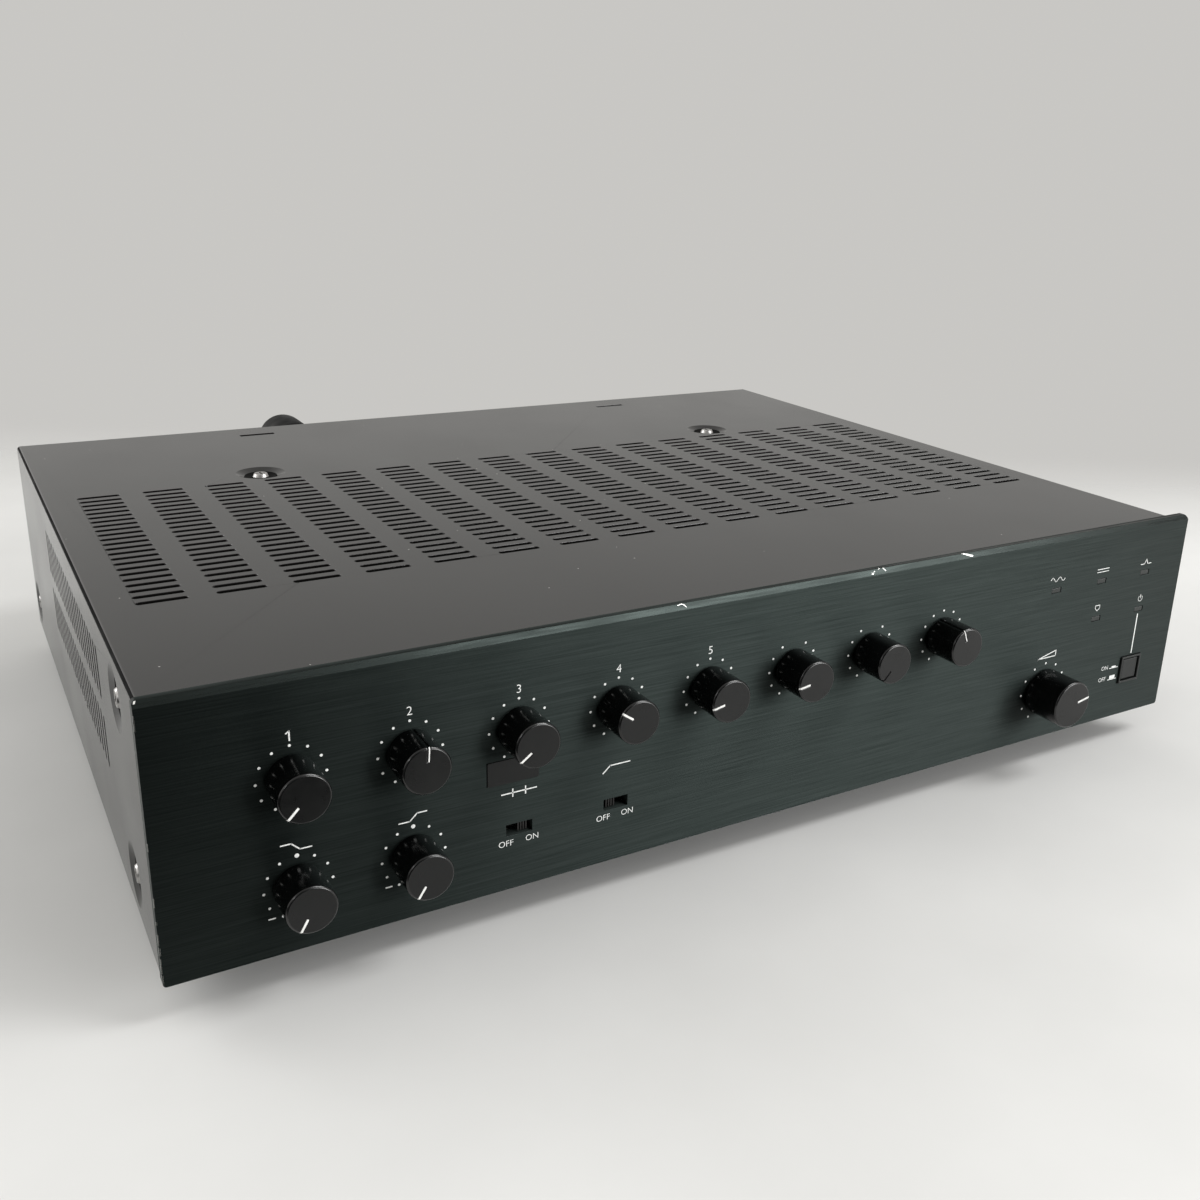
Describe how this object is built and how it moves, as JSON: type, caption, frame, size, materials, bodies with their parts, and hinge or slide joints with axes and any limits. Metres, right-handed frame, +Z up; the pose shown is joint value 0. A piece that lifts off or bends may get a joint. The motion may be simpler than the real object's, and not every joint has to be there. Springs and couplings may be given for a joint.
{
  "type": "mixer amplifier",
  "caption": "Black public-address mixer amplifier with a thick aluminium front, round level knobs, slide switches, a mains button and a slotted steel case",
  "frame": {"origin": "on the table under the middle of the bounding box", "axes": "+X to the right as seen from the front, +Y to the rear, +Z up; the knobs point along -Y"},
  "size_m": [0.42, 0.39, 0.1],
  "materials": {
    "panel_black": "black anodised, brushed along its length",
    "case_black": "satin black paint",
    "chassis_zinc": "zinc plated",
    "screw_steel": "plated",
    "foot_rubber": "matte",
    "knob_black": "satin moulded",
    "button_black": "satin moulded",
    "moulding_black": "moulded",
    "lamp_dark": "clear moulded, unlit",
    "shaft_metal": "turned",
    "board_green": "solder resist",
    "core_iron": "varnished laminations",
    "winding_tape": "taped winding",
    "sink_aluminium": "extruded",
    "capacitor_sleeve": "shrunk sleeve",
    "plug_rubber": "moulded"
  },
  "bodies": {
    "case": {"front_panel": "panel_black", "front_subpanel": "chassis_zinc", "panel_screws": "screw_steel", "bottom_chassis": "chassis_zinc", "bulkhead": "chassis_zinc", "rear_panel": "case_black", "top_cover": "case_black", "cover_screws": "screw_steel", "feet": "foot_rubber", "foot_screws": "screw_steel", "potentiometers": "chassis_zinc", "potentiometer_nuts": "screw_steel", "slide_switches": "moulding_black", "power_switch": "moulding_black", "indicator_lamps": "lamp_dark", "control_board": "board_green", "power_transformer_core": "core_iron", "output_transformer_core": "core_iron", "transformer_windings": "winding_tape", "transformer_screws": "screw_steel", "heat_sink": "sink_aluminium", "power_transistors": "moulding_black", "amplifier_board": "board_green", "filter_capacitors": "capacitor_sleeve", "input_backplane": "board_green", "module_connectors": "moulding_black", "bay_plates": "case_black", "rear_screws": "screw_steel", "input_socket": "moulding_black", "rear_plug": "plug_rubber", "speaker_terminals": "moulding_black", "terminal_screws": "screw_steel", "phono_sockets": "shaft_metal", "fuse_holder": "moulding_black", "mains_gland": "plug_rubber"},
    "input_1": {"input_knob_1": "knob_black", "input_shaft_1": "shaft_metal"},
    "input_2": {"input_knob_2": "knob_black", "input_shaft_2": "shaft_metal"},
    "input_3": {"input_knob_3": "knob_black", "input_shaft_3": "shaft_metal"},
    "input_4": {"input_knob_4": "knob_black", "input_shaft_4": "shaft_metal"},
    "input_5": {"input_knob_5": "knob_black", "input_shaft_5": "shaft_metal"},
    "input_6": {"input_knob_6": "knob_black", "input_shaft_6": "shaft_metal"},
    "input_7": {"input_knob_7": "knob_black", "input_shaft_7": "shaft_metal"},
    "input_8": {"input_knob_8": "knob_black", "input_shaft_8": "shaft_metal"},
    "bass": {"bass_knob": "knob_black", "bass_shaft": "shaft_metal"},
    "treble": {"treble_knob": "knob_black", "treble_shaft": "shaft_metal"},
    "master": {"master_knob": "knob_black", "master_shaft": "shaft_metal"},
    "tone": {"tone_lever": "knob_black"},
    "low_cut": {"low_cut_lever": "knob_black"},
    "mains_button": {"power_button": "button_black"}
  },
  "joints": [
    {"name": "input_1_turn", "type": "hinge", "parent": "case", "child": "input_1", "pos_m": [-0.1709, -0.179, 0.0692], "axis": [0, 1, 0], "range_deg": [-14, 286]},
    {"name": "input_2_turn", "type": "hinge", "parent": "case", "child": "input_2", "pos_m": [-0.136, -0.179, 0.0692], "axis": [0, 1, 0], "range_deg": [-154, 146]},
    {"name": "input_3_turn", "type": "hinge", "parent": "case", "child": "input_3", "pos_m": [-0.1011, -0.179, 0.0692], "axis": [0, 1, 0], "range_deg": [-23, 277]},
    {"name": "input_4_turn", "type": "hinge", "parent": "case", "child": "input_4", "pos_m": [-0.0662, -0.179, 0.0692], "axis": [0, 1, 0], "range_deg": [-95, 205]},
    {"name": "input_5_turn", "type": "hinge", "parent": "case", "child": "input_5", "pos_m": [-0.0313, -0.179, 0.0692], "axis": [0, 1, 0], "range_deg": [-48, 252]},
    {"name": "input_6_turn", "type": "hinge", "parent": "case", "child": "input_6", "pos_m": [0.0036, -0.179, 0.0692], "axis": [0, 1, 0], "range_deg": [-51, 249]},
    {"name": "input_7_turn", "type": "hinge", "parent": "case", "child": "input_7", "pos_m": [0.0385, -0.179, 0.0692], "axis": [0, 1, 0], "range_deg": [-12, 288]},
    {"name": "input_8_turn", "type": "hinge", "parent": "case", "child": "input_8", "pos_m": [0.0734, -0.179, 0.0692], "axis": [0, 1, 0], "range_deg": [-129, 171]},
    {"name": "bass_turn", "type": "hinge", "parent": "case", "child": "bass", "pos_m": [-0.1709, -0.179, 0.0343], "axis": [0, 1, 0], "range_deg": [0, 300]},
    {"name": "treble_turn", "type": "hinge", "parent": "case", "child": "treble", "pos_m": [-0.136, -0.179, 0.0343], "axis": [0, 1, 0], "range_deg": [-3, 297]},
    {"name": "master_turn", "type": "hinge", "parent": "case", "child": "master", "pos_m": [0.134, -0.179, 0.0343], "axis": [0, 1, 0], "range_deg": [-229, 71]},
    {"name": "tone_slide", "type": "slide", "parent": "case", "child": "tone", "axis": [1, 0, 0], "range_m": [-0.003, 0]},
    {"name": "low_cut_slide", "type": "slide", "parent": "case", "child": "low_cut", "axis": [1, 0, 0], "range_m": [0, 0.003]},
    {"name": "mains_button_press", "type": "slide", "parent": "case", "child": "mains_button", "axis": [0, 1, 0], "range_m": [0, 0.0035], "stiffness_N_per_m": 800, "springref_m": -0.002}
  ]
}
